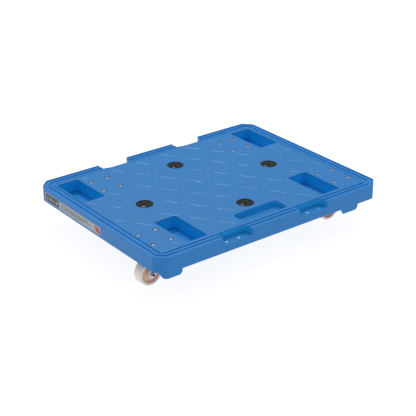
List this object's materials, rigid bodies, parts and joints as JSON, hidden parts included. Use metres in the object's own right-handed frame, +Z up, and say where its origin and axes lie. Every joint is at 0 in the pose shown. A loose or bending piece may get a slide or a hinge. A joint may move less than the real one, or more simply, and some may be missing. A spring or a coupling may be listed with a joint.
{
  "type": "caster dolly",
  "caption": "Low rectangular moulded resin platform dolly with ridged rim, wheel wells for stacking, hand slot, link recesses, rubber pads and swivel casters.",
  "frame": {"origin": "on the floor under the middle of the deck", "axes": "+X along the long side towards the right when seen from the side with the hand slot, +Y towards the side without it, +Z up"},
  "size_m": [0.6, 0.46, 0.1025],
  "materials": {
    "deck_resin": "injection-moulded polypropylene, fine grain on the deck, satin on rim and skirt",
    "pad_rubber": "smooth black rubber",
    "label_film": "printed silver-grey film, plain blocks only",
    "zinc_steel": "bright zinc plated pressed steel",
    "dark_steel": "black oxide",
    "screw_steel": "nickel plated",
    "ball_steel": "polished hardened steel",
    "wheel_nylon": "natural nylon, slightly translucent"
  },
  "bodies": {
    "chassis": {"deck": "deck_resin", "label": "label_film", "anti_slip_pad_left": "pad_rubber", "anti_slip_pad_right": "pad_rubber", "anti_slip_pad_front": "pad_rubber", "anti_slip_pad_back": "pad_rubber", "front_left_mounting_plate": "zinc_steel", "front_left_kingpin": "zinc_steel", "front_left_upper_balls": "ball_steel", "front_left_lower_balls": "ball_steel", "front_left_lower_race": "zinc_steel", "front_left_mounting_bolts": "screw_steel", "front_left_mounting_nuts": "screw_steel", "front_right_mounting_plate": "zinc_steel", "front_right_kingpin": "zinc_steel", "front_right_upper_balls": "ball_steel", "front_right_lower_balls": "ball_steel", "front_right_lower_race": "zinc_steel", "front_right_mounting_bolts": "screw_steel", "front_right_mounting_nuts": "screw_steel", "back_left_mounting_plate": "zinc_steel", "back_left_kingpin": "zinc_steel", "back_left_upper_balls": "ball_steel", "back_left_lower_balls": "ball_steel", "back_left_lower_race": "zinc_steel", "back_left_mounting_bolts": "screw_steel", "back_left_mounting_nuts": "screw_steel", "back_right_mounting_plate": "zinc_steel", "back_right_kingpin": "zinc_steel", "back_right_upper_balls": "ball_steel", "back_right_lower_balls": "ball_steel", "back_right_lower_race": "zinc_steel", "back_right_mounting_bolts": "screw_steel", "back_right_mounting_nuts": "screw_steel"},
    "front_left_swivel": {"front_left_fork": "zinc_steel", "front_left_axle_bush": "zinc_steel", "front_left_axle_bolt": "dark_steel", "front_left_axle_nut": "zinc_steel"},
    "front_left_roller": {"front_left_wheel": "wheel_nylon"},
    "front_right_swivel": {"front_right_fork": "zinc_steel", "front_right_axle_bush": "zinc_steel", "front_right_axle_bolt": "dark_steel", "front_right_axle_nut": "zinc_steel"},
    "front_right_roller": {"front_right_wheel": "wheel_nylon"},
    "back_left_swivel": {"back_left_fork": "zinc_steel", "back_left_axle_bush": "zinc_steel", "back_left_axle_bolt": "dark_steel", "back_left_axle_nut": "zinc_steel"},
    "back_left_roller": {"back_left_wheel": "wheel_nylon"},
    "back_right_swivel": {"back_right_fork": "zinc_steel", "back_right_axle_bush": "zinc_steel", "back_right_axle_bolt": "dark_steel", "back_right_axle_nut": "zinc_steel"},
    "back_right_roller": {"back_right_wheel": "wheel_nylon"}
  },
  "joints": [
    {"name": "front_left_swivel_turn", "type": "hinge", "parent": "chassis", "child": "front_left_swivel", "pos_m": [-0.245, -0.138, 0.0605], "axis": [0, 0, 1], "continuous": true},
    {"name": "front_left_wheel_spin", "type": "hinge", "parent": "front_left_swivel", "child": "front_left_roller", "pos_m": [-0.263, -0.138, 0.027], "axis": [0, 1, 0], "continuous": true},
    {"name": "front_right_swivel_turn", "type": "hinge", "parent": "chassis", "child": "front_right_swivel", "pos_m": [0.245, -0.138, 0.0605], "axis": [0, 0, 1], "continuous": true},
    {"name": "front_right_wheel_spin", "type": "hinge", "parent": "front_right_swivel", "child": "front_right_roller", "pos_m": [0.227, -0.138, 0.027], "axis": [0, 1, 0], "continuous": true},
    {"name": "back_left_swivel_turn", "type": "hinge", "parent": "chassis", "child": "back_left_swivel", "pos_m": [-0.182, 0.138, 0.0605], "axis": [0, 0, 1], "continuous": true},
    {"name": "back_left_wheel_spin", "type": "hinge", "parent": "back_left_swivel", "child": "back_left_roller", "pos_m": [-0.2, 0.138, 0.027], "axis": [0, 1, 0], "continuous": true},
    {"name": "back_right_swivel_turn", "type": "hinge", "parent": "chassis", "child": "back_right_swivel", "pos_m": [0.182, 0.138, 0.0605], "axis": [0, 0, 1], "continuous": true},
    {"name": "back_right_wheel_spin", "type": "hinge", "parent": "back_right_swivel", "child": "back_right_roller", "pos_m": [0.164, 0.138, 0.027], "axis": [0, 1, 0], "continuous": true}
  ]
}
